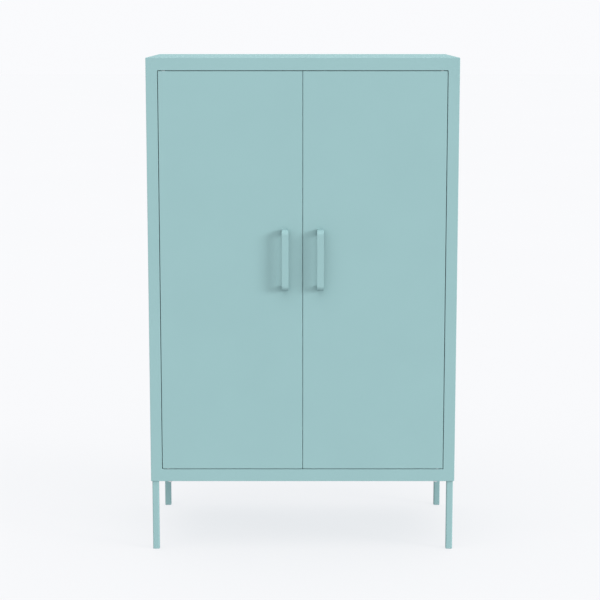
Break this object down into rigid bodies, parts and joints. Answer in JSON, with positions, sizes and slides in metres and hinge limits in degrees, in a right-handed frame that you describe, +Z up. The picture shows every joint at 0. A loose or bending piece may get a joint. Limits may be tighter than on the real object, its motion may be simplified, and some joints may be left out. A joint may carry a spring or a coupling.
{
  "type": "two-door storage cabinet",
  "caption": "Sheet-steel storage cabinet on slim square-tube legs, with flush inset doors on hidden pin hinges, bow handles and adjustable shelves.",
  "frame": {"origin": "on the floor, under the middle of the cabinet's outline with its handles", "axes": "+Z up, -Y out of the doors, +X to the right of someone facing the doors"},
  "size_m": [0.8, 0.475, 1.2935],
  "materials": {
    "powder_coat": "satin pale turquoise powder coat",
    "zinc_plated_steel": "bright zinc plate",
    "dark_nylon": "moulded",
    "foot_plastic": "moulded"
  },
  "bodies": {
    "carcass": {"front_frame": "powder_coat", "top_panel": "powder_coat", "base_panel": "powder_coat", "back_panel": "powder_coat", "floor_panel": "powder_coat", "left_side_panel": "powder_coat", "right_side_panel": "powder_coat", "lower_shelf": "powder_coat", "upper_shelf": "powder_coat", "front_left_shelf_upright": "powder_coat", "rear_left_shelf_upright": "powder_coat", "front_right_shelf_upright": "powder_coat", "rear_right_shelf_upright": "powder_coat", "front_left_lower_shelf_clip": "zinc_plated_steel", "front_left_upper_shelf_clip": "zinc_plated_steel", "rear_left_lower_shelf_clip": "zinc_plated_steel", "rear_left_upper_shelf_clip": "zinc_plated_steel", "front_right_lower_shelf_clip": "zinc_plated_steel", "front_right_upper_shelf_clip": "zinc_plated_steel", "rear_right_lower_shelf_clip": "zinc_plated_steel", "rear_right_upper_shelf_clip": "zinc_plated_steel", "front_left_leg": "powder_coat", "rear_left_leg": "powder_coat", "front_right_leg": "powder_coat", "rear_right_leg": "powder_coat", "front_left_glide": "foot_plastic", "rear_left_glide": "foot_plastic", "front_right_glide": "foot_plastic", "rear_right_glide": "foot_plastic", "front_left_leg_side_bolt": "zinc_plated_steel", "front_left_leg_end_bolt": "zinc_plated_steel", "rear_left_leg_side_bolt": "zinc_plated_steel", "rear_left_leg_end_bolt": "zinc_plated_steel", "front_right_leg_side_bolt": "zinc_plated_steel", "front_right_leg_end_bolt": "zinc_plated_steel", "rear_right_leg_side_bolt": "zinc_plated_steel", "rear_right_leg_end_bolt": "zinc_plated_steel", "left_upper_hinge_bushing": "dark_nylon", "left_lower_hinge_bushing": "dark_nylon", "right_upper_hinge_bushing": "dark_nylon", "right_lower_hinge_bushing": "dark_nylon", "left_magnet_catch": "dark_nylon", "right_magnet_catch": "dark_nylon"},
    "left_door": {"left_door_skin": "powder_coat", "left_door_liner": "powder_coat", "left_handle": "powder_coat", "left_strike_plate": "zinc_plated_steel", "left_upper_hinge_pin": "zinc_plated_steel", "left_lower_hinge_pin": "zinc_plated_steel", "left_upper_handle_screw": "zinc_plated_steel", "left_lower_handle_screw": "zinc_plated_steel"},
    "right_door": {"right_door_skin": "powder_coat", "right_door_liner": "powder_coat", "right_handle": "powder_coat", "right_strike_plate": "zinc_plated_steel", "right_upper_hinge_pin": "zinc_plated_steel", "right_lower_hinge_pin": "zinc_plated_steel", "right_upper_handle_screw": "zinc_plated_steel", "right_lower_handle_screw": "zinc_plated_steel"}
  },
  "joints": [
    {"name": "left_door_hinge", "type": "hinge", "parent": "carcass", "child": "left_door", "pos_m": [-0.3549, -0.2065, 0.73975], "axis": [0, 0, -1], "range_deg": [0, 110]},
    {"name": "right_door_hinge", "type": "hinge", "parent": "carcass", "child": "right_door", "pos_m": [0.3549, -0.2065, 0.73975], "axis": [0, 0, 1], "range_deg": [0, 110]}
  ]
}
